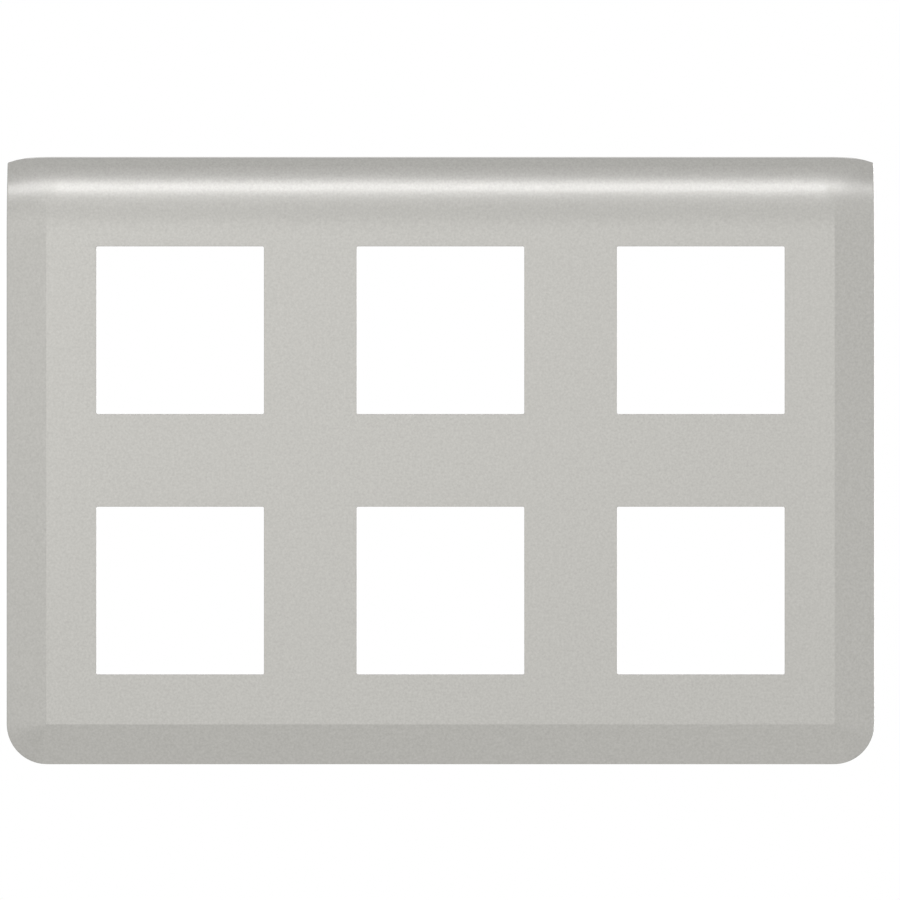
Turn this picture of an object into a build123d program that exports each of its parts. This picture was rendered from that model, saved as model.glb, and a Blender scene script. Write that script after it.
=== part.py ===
from build123d import *
import math
import os

# Cover plate for six modular switch mechanisms, in two rows of three.
# Millimetres, +X right, +Z up. The wall plane is y = 0 and the front faces -Y.
# The origin is the middle of the plate's outline, on the wall plane.

# Window grid
COLUMNS = 3
ROWS = 2
PITCH = 71.0  # centre to centre, the spacing of wall boxes set side by side
WINDOW = 45.7  # clear square that a 45 mm module comes through
WINDOW_RADIUS = 0.4
WINDOW_EDGE = 0.15  # rounding of a window's front edge
WINDOW_DRAFT = 2.5  # degrees by which a window widens towards the back, to leave the mould
MARGIN = 24.65  # from a window to the plate's edge

# Outer form
DEPTH = 9.5  # wall plane to the flat front
WALL = 2.0
BORDER_WIDTH = 11.0  # sloping border at the left, right and bottom
BORDER_DROP = 3.8  # how far that border falls back towards the wall
EDGE_ROUND = 0.5  # where the border turns into the side wall

# Rolled top: a long crown, a tight brow, and a short land that meets the wall squarely
CROWN_RADIUS = 48.0
BROW_RADIUS = 4.5
BROW_LAND = 1.25
CROWN_FALL = 0.75  # how far the roll sinks where it runs out over a side border

# Moulded back
COLLAR_WALL = 1.2  # low collar round each window
COLLAR_HEIGHT = 2.0
RIB_WALL = 1.2
RIB_HEIGHT = 2.5
CLIP_WIDTH = 7.0
CLIP_WALL = 1.5
CLIP_SPACING = 28.0  # between the two clips on one side of a window
CLIP_OFFSET = 7.5  # from a window to the clip's inner face
CLIP_SETBACK = 0.6  # the clip's tip stays this far in front of the wall plane
TEETH = 3  # on each clip, so that the plate can stand off an uneven wall
TOOTH = 0.8  # height of a tooth
TOOTH_PITCH = 1.3
NOTCH_WIDTH = 14.0  # lever-off notch in the rear of the bottom edge
NOTCH_DEPTH = 1.2

# Sizes that follow
WIDTH = (COLUMNS - 1) * PITCH + WINDOW + 2 * MARGIN
HEIGHT = (ROWS - 1) * PITCH + WINDOW + 2 * MARGIN
FRONT_Y = -DEPTH
INSIDE_Y = FRONT_Y + WALL
CREASE_X = WIDTH / 2 - BORDER_WIDTH
CREASE_Z = BORDER_WIDTH - HEIGHT / 2
TOP_Z = HEIGHT / 2
CROWN_Y = FRONT_Y + CROWN_RADIUS  # axis of the crown
BROW_Y = -BROW_LAND  # axis of the brow
BROW_Z = TOP_Z - BROW_RADIUS
CROWN_TURN = math.acos((CROWN_Y - BROW_Y) / (CROWN_RADIUS - BROW_RADIUS))
CROWN_Z = BROW_Z - (CROWN_RADIUS - BROW_RADIUS) * math.sin(CROWN_TURN)
SEAM_Z = CROWN_Z - 2 * CROWN_FALL  # the roll's ends stay above this


def window_spots():
    return GridLocations(PITCH, PITCH, COLUMNS, ROWS)


def facing(y):
    """Plane parallel to the wall, with Z up, that extrudes back towards the wall."""
    return Plane(origin=(0, y, 0), x_dir=(-1, 0, 0), z_dir=(0, 1, 0))


def plate_section(inset):
    """Section in Y and Z above the bottom crease, set in by inset: flat, crown, brow and land."""
    crown = CROWN_RADIUS - inset
    brow = BROW_RADIUS - inset

    def on_crown(angle):
        return (CROWN_Y - crown * math.cos(angle), CROWN_Z + crown * math.sin(angle))

    def on_brow(angle):
        return (BROW_Y - brow * math.cos(angle), BROW_Z + brow * math.sin(angle))

    upright = math.pi / 2
    halfway = (CROWN_TURN + upright) / 2
    return make_face(
        [
            Polyline((0, TOP_Z - inset), (0, CREASE_Z), (FRONT_Y + inset, CREASE_Z), on_crown(0)),
            ThreePointArc(on_crown(0), on_crown(CROWN_TURN / 2), on_crown(CROWN_TURN)),
            ThreePointArc(on_brow(CROWN_TURN), on_brow(halfway), on_brow(upright)),
            Line(on_brow(upright), (0, TOP_Z - inset)),
        ]
    )


def border_section(inset):
    """Section of the sloping border, drawn outwards from the crease and back to the wall."""
    reach = BORDER_WIDTH - inset
    front = FRONT_Y + inset
    edge = front + BORDER_DROP * reach / BORDER_WIDTH
    return make_face(Polyline((0, front), (reach, edge), (reach, 0), (0, 0), close=True))


def plain_border(inset):
    """Right border below the roll, and the quarter cone that takes it round the bottom corner."""
    corner = Plane(origin=(CREASE_X, 0, CREASE_Z), x_dir=(1, 0, 0), z_dir=(0, 0, 1))
    section = corner * border_section(inset)
    cone = revolve(section, Axis((CREASE_X, 0, CREASE_Z), (0, 1, 0)), 90)
    return extrude(section, SEAM_Z - CREASE_Z) + cone


def roll_end(inset):
    """Right end of the roll: its section carried out and back along the border, sinking in an arc."""
    start = Vector(CREASE_X, 0, 0)
    slope = Vector(BORDER_WIDTH, BORDER_DROP, 0)
    path = TangentArc(start, start + slope - Vector(0, 0, CROWN_FALL), tangent=slope)
    carried = sweep(Plane.YZ.offset(CREASE_X) * plate_section(inset), path=path, normal=(1, 0, 0))
    room = Pos(CREASE_X, FRONT_Y, SEAM_Z) * Box(
        BORDER_WIDTH - inset, DEPTH, TOP_Z - SEAM_Z, align=(Align.MIN, Align.MIN, Align.MIN)
    )
    return carried & room


def solid_form(inset):
    """The plate's outside as a solid block, set in by inset for the hollow behind it."""
    middle = extrude(Plane.YZ * plate_section(inset), CREASE_X, both=True)
    below = Plane(origin=(-CREASE_X, 0, CREASE_Z), x_dir=(0, 0, -1), z_dir=(1, 0, 0))
    bottom = extrude(below * border_section(inset), 2 * CREASE_X)
    right = plain_border(inset) + roll_end(inset)
    return middle + bottom + right + mirror(right, Plane.YZ)


def rounded_rim(block):
    """Rounds the edge where the border and the roll's ends turn into the side walls."""

    def is_rim(edge):
        spot = edge @ 0.5
        on_side = abs(spot.X) > WIDTH / 2 - 0.01
        on_bottom = spot.Z < 0.01 - HEIGHT / 2
        on_corner = spot.Z < CREASE_Z and edge.geom_type == GeomType.CIRCLE
        runs_back = abs((edge % 0.5).Y) > 0.99
        on_wall = spot.Y > -0.01
        return (on_side or on_bottom or on_corner) and not runs_back and not on_wall

    return fillet(block.edges().filter_by(is_rim), EDGE_ROUND)


def window_blocks(extra, front_y, rear_y, draft=0):
    """A rounded square for each window, wider by extra all round, that widens from front_y to rear_y."""
    side = WINDOW + 2 * extra
    square = RectangleRounded(side, side, WINDOW_RADIUS + extra)
    squares = Sketch() + [spot * square for spot in window_spots()]
    return extrude(facing(front_y) * squares, rear_y - front_y, taper=-draft)


def rounded_windows(plate):
    """Rounds the windows' front edges."""

    def is_front_edge(edge):
        spot = edge @ 0.5
        in_grid = abs(spot.X) < WIDTH / 2 - MARGIN + 0.01 and abs(spot.Z) < HEIGHT / 2 - MARGIN + 0.01
        runs_back = abs((edge % 0.5).Y) > 0.99
        return in_grid and spot.Y < INSIDE_Y - WALL / 2 and not runs_back

    return fillet(plate.edges().filter_by(is_front_edge), WINDOW_EDGE)


def ribs():
    """Stiffening ribs midway between the windows, right across the plate."""
    upright = [Pos(X=(i - COLUMNS / 2) * PITCH) * Rectangle(RIB_WALL, HEIGHT) for i in range(1, COLUMNS)]
    level = [Pos(Y=(i - ROWS / 2) * PITCH) * Rectangle(WIDTH, RIB_WALL) for i in range(1, ROWS)]
    return extrude(facing(INSIDE_Y) * (Sketch() + upright + level), RIB_HEIGHT)


def clip():
    """Springy leg above the centre of a window, with ratchet teeth on its outer side."""
    root = INSIDE_Y - WALL / 2
    tip = -CLIP_SETBACK
    inner = WINDOW / 2 + CLIP_OFFSET
    outer = inner + CLIP_WALL
    outline = [(root, outer), (root, inner), (tip, inner), (tip, outer)]
    for i in range(1, TEETH + 1):
        catch = tip - i * TOOTH_PITCH
        outline += [(catch, outer + TOOTH), (catch, outer)]
    return extrude(Plane.YZ * make_face(Polyline(*outline, close=True)), CLIP_WIDTH / 2, both=True)


def clips():
    """Two clips above and two below every window."""
    above = [Pos(X=side * CLIP_SPACING / 2) * clip() for side in (-1, 1)]
    around = above + [mirror(leg, Plane.XY) for leg in above]
    return [Pos(spot.position.X, 0, spot.position.Y) * leg for spot in window_spots() for leg in around]


def cover_plate():
    block = rounded_rim(solid_form(0))
    plate = block - solid_form(WALL)
    plate += window_blocks(COLLAR_WALL, INSIDE_Y - WALL / 2, INSIDE_Y + COLLAR_HEIGHT)
    plate += ribs() & block
    plate += clips()
    plate -= window_blocks(0, FRONT_Y, 0, WINDOW_DRAFT)
    plate -= Pos(Z=-HEIGHT / 2) * Box(NOTCH_WIDTH, 2 * NOTCH_DEPTH, 3 * WALL)
    return rounded_windows(plate)


os.makedirs("parts", exist_ok=True)
export_step(cover_plate(), "parts/cover_plate.step")
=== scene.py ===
import bpy
import math
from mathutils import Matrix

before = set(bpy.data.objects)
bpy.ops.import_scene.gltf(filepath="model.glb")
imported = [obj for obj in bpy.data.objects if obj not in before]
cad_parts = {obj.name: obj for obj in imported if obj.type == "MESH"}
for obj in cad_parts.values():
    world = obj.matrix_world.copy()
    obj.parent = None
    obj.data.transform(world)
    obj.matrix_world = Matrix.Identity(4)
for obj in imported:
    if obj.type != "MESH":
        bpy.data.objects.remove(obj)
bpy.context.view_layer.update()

# Cover plate.
# One injection moulding in ABS: flat face, sloping borders, rolled top and, behind, collars, ribs and clip legs.
# The front is sprayed with aluminium-effect lacquer after moulding, and the back stays bare plastic.
MM = 0.001
CREASE_X = 107.5 * MM  # the flat face ends here, left and right
CREASE_Z = -72.0 * MM  # and here at the bottom
BORDER_SLOPE = 3.8 / 11  # how the border outside them falls back
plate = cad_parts["cover_plate"]


def add(tree, kind, inputs, **settings):
    """Adds a node with its settings. Each input takes a value, or another node's output as its link."""
    made = tree.nodes.new(kind)
    for name, value in settings.items():
        setattr(made, name, value)
    for name, value in inputs.items():
        if isinstance(value, bpy.types.NodeSocket):
            tree.links.new(value, made.inputs[name])
        else:
            made.inputs[name].default_value = value
    return made


def linear(hex_colour):
    """An sRGB hex colour as linear RGBA."""
    parts = [int(hex_colour[i:i + 2], 16) / 255 for i in (1, 3, 5)]
    return [c / 12.92 if c <= 0.04045 else ((c + 0.055) / 1.055) ** 2.4 for c in parts] + [1.0]


# The surface runs smoothly over the roll and the rounded edges, and breaks at the creases and the corners.
# The spray comes from the front, so a face is lacquered where nothing of the plate stands before it.
WELD = 0.001 * MM  # points closer than this are one
ON_CREASE = 0.005 * MM  # edges within this of a crease's line belong to it
SPRAY_REACH = 100.0 * MM  # longer than the plate is deep
finish = bpy.data.node_groups.new("lacquer_reach", "GeometryNodeTree")
finish.interface.new_socket("Plate", in_out="INPUT", socket_type="NodeSocketGeometry")
finish.interface.new_socket("Corner Angle", in_out="INPUT", socket_type="NodeSocketFloat")
finish.interface.new_socket("Clearance", in_out="INPUT", socket_type="NodeSocketFloat")
finish.interface.new_socket("Plate", in_out="OUTPUT", socket_type="NodeSocketGeometry")
given = finish.nodes.new("NodeGroupInput").outputs
whole = add(finish, "GeometryNodeMergeByDistance", {"Geometry": given["Plate"], "Distance": WELD})
spot = add(finish, "GeometryNodeInputPosition", {})
axes = add(finish, "ShaderNodeSeparateXYZ", {0: spot.outputs["Position"]})
aside = add(finish, "ShaderNodeMath", {0: axes.outputs["X"]}, operation="ABSOLUTE")
past_side = add(finish, "ShaderNodeMath", {0: aside.outputs[0], 1: CREASE_X}, operation="SUBTRACT")
past_bottom = add(finish, "ShaderNodeMath", {0: CREASE_Z, 1: axes.outputs["Z"]}, operation="SUBTRACT")
past = add(finish, "ShaderNodeMath", {0: past_side.outputs[0], 1: past_bottom.outputs[0]}, operation="MAXIMUM")
off_crease = add(finish, "ShaderNodeMath", {0: past.outputs[0]}, operation="ABSOLUTE")
crease = add(finish, "FunctionNodeCompare", {0: off_crease.outputs[0], 1: ON_CREASE}, operation="LESS_THAN")
bend = add(finish, "GeometryNodeInputMeshEdgeAngle", {})
corner = add(finish, "FunctionNodeCompare", {0: bend.outputs["Unsigned Angle"], 1: given["Corner Angle"]},
             operation="GREATER_THAN")
sharp = add(finish, "FunctionNodeBooleanMath", {0: crease.outputs[0], 1: corner.outputs[0]}, operation="OR")
smooth = add(finish, "GeometryNodeSetMeshNormal",
             {"Mesh": whole.outputs["Geometry"], "Remove Custom": True, "Edge Sharpness": sharp.outputs[0]})
outward = add(finish, "GeometryNodeInputNormal", {})
lifted = add(finish, "ShaderNodeVectorMath",
             {0: outward.outputs["Normal"], "Scale": given["Clearance"]}, operation="SCALE")
start = add(finish, "ShaderNodeVectorMath", {0: spot.outputs["Position"], 1: lifted.outputs["Vector"]})
spray = add(finish, "GeometryNodeRaycast", {"Target Geometry": smooth.outputs["Mesh"],
            "Source Position": start.outputs["Vector"], "Ray Direction": (0, -1, 0), "Ray Length": SPRAY_REACH})
reached = add(finish, "FunctionNodeBooleanMath", {0: spray.outputs["Is Hit"]}, operation="NOT")
marked = add(finish, "GeometryNodeStoreNamedAttribute",
             {"Geometry": smooth.outputs["Mesh"], "Name": "lacquered", "Value": reached.outputs["Boolean"]},
             data_type="FLOAT", domain="FACE")
add(finish, "NodeGroupOutput", {"Plate": marked.outputs["Geometry"]})
sprayed = plate.modifiers.new("lacquer_reach", "NODES")
sprayed.node_group = finish
settings = {"Corner Angle": math.radians(25), "Clearance": 0.02 * MM}
for socket in finish.interface.items_tree:
    if socket.in_out == "INPUT" and socket.name in settings:
        sprayed[socket.identifier] = settings[socket.name]
even = plate.modifiers.new("even_normals", "WEIGHTED_NORMAL")
even.mode = "FACE_AREA_WITH_ANGLE"
even.keep_sharp = True

# Aluminium-effect lacquer on ABS, sprayed: fine flakes lying in the film give it a soft metallic grey with a
# close grain, and a narrow bright line where the roll turns through the light. Bare ABS shows where no spray
# reached: a duller grey with the fine grain of an eroded mould.
FLAKE = 0.6 * MM  # real flakes are about 0.03 mm across, drawn coarser so that they show
FLAKE_SHARE = 0.3  # how much of the lacquer answers to light as metal
GRAIN = 0.0006 * MM  # height of the grain
BARE_ROUGHNESS = 0.5
lacquer = bpy.data.materials.new("aluminium_effect_lacquer_on_abs")
lacquer.use_nodes = True
tree = lacquer.node_tree
tree.nodes.clear()
place = add(tree, "ShaderNodeTexCoord", {})
flakes = add(tree, "ShaderNodeTexNoise", {"Vector": place.outputs["Object"], "Scale": 1 / FLAKE,
             "Detail": 2.0, "Roughness": 0.6})
silver = add(tree, "ShaderNodeMix", {0: flakes.outputs["Fac"], 6: linear("#B4B3AD"), 7: linear("#D8D6D1")},
             data_type="RGBA")
film = add(tree, "ShaderNodeMapRange", {"Value": flakes.outputs["Fac"], "To Min": 0.21, "To Max": 0.25})
grey = add(tree, "ShaderNodeMix", {0: flakes.outputs["Fac"], 6: linear("#979691"), 7: linear("#A9A8A3")},
           data_type="RGBA")
reach = add(tree, "ShaderNodeAttribute", {}, attribute_name="lacquered")
colour = add(tree, "ShaderNodeMix", {0: reach.outputs["Fac"], 6: grey.outputs[2], 7: silver.outputs[2]},
             data_type="RGBA")
rough = add(tree, "ShaderNodeMapRange", {"Value": reach.outputs["Fac"], "To Min": BARE_ROUGHNESS,
            "To Max": film.outputs["Result"]})
metal = add(tree, "ShaderNodeMath", {0: reach.outputs["Fac"], 1: FLAKE_SHARE}, operation="MULTIPLY")

# On the roll the side creases die out: near their line the face turns gradually there, not at once.
EASE = 5.0 * MM  # to either side of the line
ROLL_STARTS, ROLL_FULL = 67.0 * MM, 72.0 * MM  # heights between which the easing sets in
axes = add(tree, "ShaderNodeSeparateXYZ", {0: place.outputs["Object"]})
aside = add(tree, "ShaderNodeMath", {0: axes.outputs["X"]}, operation="ABSOLUTE")
past = add(tree, "ShaderNodeMath", {0: aside.outputs[0], 1: CREASE_X}, operation="SUBTRACT")
gradual = add(tree, "ShaderNodeMapRange", {"Value": past.outputs[0], "From Min": -EASE, "From Max": EASE},
              interpolation_type="SMOOTHSTEP")
at_once = add(tree, "ShaderNodeMath", {0: past.outputs[0], 1: 0.0}, operation="GREATER_THAN")
side = add(tree, "ShaderNodeMath", {0: axes.outputs["X"]}, operation="SIGN")
on_roll = add(tree, "ShaderNodeMapRange", {"Value": axes.outputs["Z"], "From Min": ROLL_STARTS,
              "From Max": ROLL_FULL}, interpolation_type="SMOOTHSTEP")
face = add(tree, "ShaderNodeNewGeometry", {})
facing = add(tree, "ShaderNodeSeparateXYZ", {0: face.outputs["Normal"]})
turn = add(tree, "ShaderNodeMath", {0: at_once.outputs[0], 1: gradual.outputs["Result"]}, operation="SUBTRACT")
for factor in (side.outputs[0], on_roll.outputs["Result"], facing.outputs["Y"], BORDER_SLOPE):
    turn = add(tree, "ShaderNodeMath", {0: turn.outputs[0], 1: factor}, operation="MULTIPLY")
sideways = add(tree, "ShaderNodeCombineXYZ", {"X": turn.outputs[0]})
leaning = add(tree, "ShaderNodeVectorMath", {0: face.outputs["Normal"], 1: sideways.outputs[0]})
eased = add(tree, "ShaderNodeVectorMath", {0: leaning.outputs["Vector"]}, operation="NORMALIZE")
grain = add(tree, "ShaderNodeBump", {"Height": flakes.outputs["Fac"], "Strength": 1.0, "Distance": GRAIN,
            "Normal": eased.outputs["Vector"]})
paint = add(tree, "ShaderNodeBsdfPrincipled", {"Base Color": colour.outputs[2], "Metallic": metal.outputs[0],
            "Roughness": rough.outputs["Result"], "Normal": grain.outputs["Normal"]})
add(tree, "ShaderNodeOutputMaterial", {"Surface": paint.outputs["BSDF"]})
plate.material_slots[0].material = lacquer

# Floor.
# A sheet of matt white paper below the plate, which hangs as it does on a wall. It keeps the plate's shadow.
# The gloss of the plate shows the studio's own white there instead.
FLOOR_X, FLOOR_Y, FLOOR_DROP = 0.8, 0.6, 0.3  # metres: half its width, half its depth, and how far below it lies
PLAIN_WHITE = 0.8  # the camera sees this share of it as plain white, and the rest with light and shadow
corners = [(-FLOOR_X, -FLOOR_Y), (FLOOR_X, -FLOOR_Y), (FLOOR_X, FLOOR_Y), (-FLOOR_X, FLOOR_Y)]
floor_mesh = bpy.data.meshes.new("floor")
floor_mesh.from_pydata([(x, y, -FLOOR_DROP) for x, y in corners], [], [(0, 1, 2, 3)])
floor = bpy.data.objects.new("floor", floor_mesh)
bpy.context.scene.collection.objects.link(floor)
paper = bpy.data.materials.new("matt_white_paper")
paper.use_nodes = True
tree = paper.node_tree
tree.nodes.clear()
ray = add(tree, "ShaderNodeLightPath", {})
direct = add(tree, "ShaderNodeMath", {0: ray.outputs["Is Camera Ray"], 1: PLAIN_WHITE}, operation="MULTIPLY")
plain = add(tree, "ShaderNodeMath", {0: direct.outputs[0], 1: ray.outputs["Is Transmission Ray"]},
            operation="MAXIMUM")
matt = add(tree, "ShaderNodeBsdfDiffuse", {"Color": linear("#F4F4F2")})
white = add(tree, "ShaderNodeEmission", {"Color": linear("#FFFFFF"), "Strength": 1.0})
sheet = add(tree, "ShaderNodeMixShader", {0: plain.outputs[0], 1: matt.outputs[0], 2: white.outputs[0]})
add(tree, "ShaderNodeOutputMaterial", {"Surface": sheet.outputs[0]})
floor_mesh.materials.append(paper)
floor.visible_glossy = False

# Studio.
# White shows behind the plate, and a white room shows in its gloss. The room is dimmer above the walls, a little
# lighter again at the ceiling, and dimmer low down at the sides. The plate's matt colour gets an even fill from it.
WALLS_END = (33, 52)  # degrees above the horizon between which the white of the walls fades
CEILING_STARTS = (51, 61)
GAP, CEILING = 0.46, 0.24  # what is left of the white above the walls, and what the ceiling adds to it
SINK = 0.3  # how these edges sink towards the sides
MIDDLE = 0.12  # the brightest part below lies a little right of the middle
DIM_BELOW, DIM_ASIDE = 0.04, 0.65  # how the room dims downwards: everywhere, and with the way to the side
FILL = 0.5
world = bpy.data.worlds.new("studio")
bpy.context.scene.world = world
world.use_nodes = True
world.cycles.sampling_method = "NONE"
air = world.node_tree
air.nodes.clear()
ray = add(air, "ShaderNodeLightPath", {})
way = add(air, "ShaderNodeTexCoord", {})
heading = add(air, "ShaderNodeSeparateXYZ", {0: way.outputs["Generated"]})
aside = add(air, "ShaderNodeMath", {0: heading.outputs["X"]}, operation="ABSOLUTE")
height = add(air, "ShaderNodeMath", {0: aside.outputs[0], 1: SINK, 2: heading.outputs["Z"]},
             operation="MULTIPLY_ADD")
low_edge, high_edge = (math.sin(math.radians(degrees)) for degrees in WALLS_END)
walls = add(air, "ShaderNodeMapRange", {"Value": height.outputs[0], "From Min": low_edge, "From Max": high_edge,
            "To Min": 1.0, "To Max": GAP}, interpolation_type="SMOOTHSTEP")
low_edge, high_edge = (math.sin(math.radians(degrees)) for degrees in CEILING_STARTS)
ceiling = add(air, "ShaderNodeMapRange", {"Value": height.outputs[0], "From Min": low_edge, "From Max": high_edge,
              "To Max": CEILING}, interpolation_type="SMOOTHSTEP")
upper = add(air, "ShaderNodeMath", {0: walls.outputs["Result"], 1: ceiling.outputs["Result"]})
below = add(air, "ShaderNodeMapRange", {"Value": heading.outputs["Z"], "From Min": 0.0, "From Max": -1.0})
to_side = add(air, "ShaderNodeMath", {0: heading.outputs["X"], 1: MIDDLE}, operation="SUBTRACT")
to_side = add(air, "ShaderNodeMath", {0: to_side.outputs[0]}, operation="ABSOLUTE")
dimming = add(air, "ShaderNodeMath", {0: to_side.outputs[0], 1: DIM_ASIDE, 2: DIM_BELOW}, operation="MULTIPLY_ADD")
dim = add(air, "ShaderNodeMath", {0: dimming.outputs[0], 1: below.outputs["Result"]}, operation="MULTIPLY")
room = add(air, "ShaderNodeMath", {0: upper.outputs[0], 1: dim.outputs[0]}, operation="SUBTRACT")
shine = add(air, "ShaderNodeMath", {0: ray.outputs["Is Glossy Ray"], 1: room.outputs[0]}, operation="MULTIPLY")
level = add(air, "ShaderNodeMath", {0: ray.outputs["Is Diffuse Ray"], 1: FILL}, operation="MULTIPLY")
for other in (shine.outputs[0], ray.outputs["Is Camera Ray"], ray.outputs["Is Transmission Ray"]):
    level = add(air, "ShaderNodeMath", {0: level.outputs[0], 1: other}, operation="MAXIMUM")
sky = add(air, "ShaderNodeBackground", {"Color": linear("#FFFFFF"), "Strength": level.outputs[0]})
add(air, "ShaderNodeOutputWorld", {"Surface": sky.outputs["Background"]})


def soft_box(name, width, height, brightness, azimuth, elevation, distance, colour="#FFFFFF"):
    """A soft box that faces the plate. Azimuth is to the right of the camera and elevation above it, in degrees."""
    light = bpy.data.lights.new(name, "AREA")
    light.shape = "RECTANGLE"
    light.size, light.size_y = width, height
    light.energy = brightness * math.pi * width * height
    light.color = linear(colour)[:3]
    box = bpy.data.objects.new(name, light)
    bpy.context.scene.collection.objects.link(box)
    a, e = math.radians(azimuth), math.radians(elevation)
    box.location = (distance * math.sin(a) * math.cos(e), -distance * math.cos(a) * math.cos(e),
                    distance * math.sin(e))
    box.rotation_euler = (math.radians(90) - e, 0, a)


# Soft boxes in front light the face a little from the left, and one behind lights the back.
soft_box("front", 1.2, 0.8, 0.49, -3, 6, 3.0)
soft_box("front_left", 0.9, 0.5, 0.30, -6, 0, 3.0)
soft_box("key", 0.6, 0.6, 0.21, -22, 22, 1.0)
soft_box("left", 0.5, 0.8, 0.45, -42, 8, 2.5)
soft_box("behind", 1.2, 1.2, 5.0, 150, 5, 2.5)

# A narrow strip of cool light above, which draws the bright line along the roll. It bends round the plate in short
# lengths that sink towards its ends, and the right end is the weaker one.
COOL = "#FAFAFF"
STRIP_HEIGHT, STRIP_DISTANCE, STRIP_RISE = 0.07, 2.0, 36.7  # metres, metres, and degrees above the camera
LENGTH, LENGTH_TURN, FIRST_TURN = 0.28, 8, 18  # of a short length: metres, and degrees round the plate
ENDS = ((2.7, 2.8), (9.8, 9.7), (8.9, 8.1), (8.6, 7.7), (10.2, 5.5))  # brightness outwards, left and right
soft_box("strip", 1.0, STRIP_HEIGHT, 12.6, 0, STRIP_RISE, STRIP_DISTANCE, COOL)
for step, (left, right) in enumerate(ENDS):
    azimuth = FIRST_TURN + LENGTH_TURN * step
    elevation = STRIP_RISE - step * (1 + step / 8)  # each sinks a little more than the one before
    soft_box(f"strip_left_{step}", LENGTH, STRIP_HEIGHT, left, -azimuth, elevation, STRIP_DISTANCE, COOL)
    soft_box(f"strip_right_{step}", LENGTH, STRIP_HEIGHT, right, azimuth, elevation, STRIP_DISTANCE, COOL)

# Camera.
# Straight in front of the plate at 2.5 m, with a long lens, as the photograph has it.
DISTANCE = 2.5  # metres from the plate's front face
FRONT_Y = -9.5 * MM
SCALE = 3.667  # pixels to a millimetre on that face
PICTURE = 900  # pixels across
SENSOR = 36.0  # millimetres
AIM_X, AIM_Z = 2.6 * MM, 2.83 * MM  # the picture's middle on the plate
camera_data = bpy.data.cameras.new("camera")
camera_data.sensor_width = SENSOR
camera_data.lens = SENSOR * DISTANCE / (PICTURE / SCALE * MM)
camera = bpy.data.objects.new("camera", camera_data)
bpy.context.scene.collection.objects.link(camera)
camera.location = (AIM_X, FRONT_Y - DISTANCE, AIM_Z)
camera.rotation_euler = (math.radians(90), 0, 0)
bpy.context.scene.camera = camera

bpy.context.scene.view_settings.view_transform = "Standard"
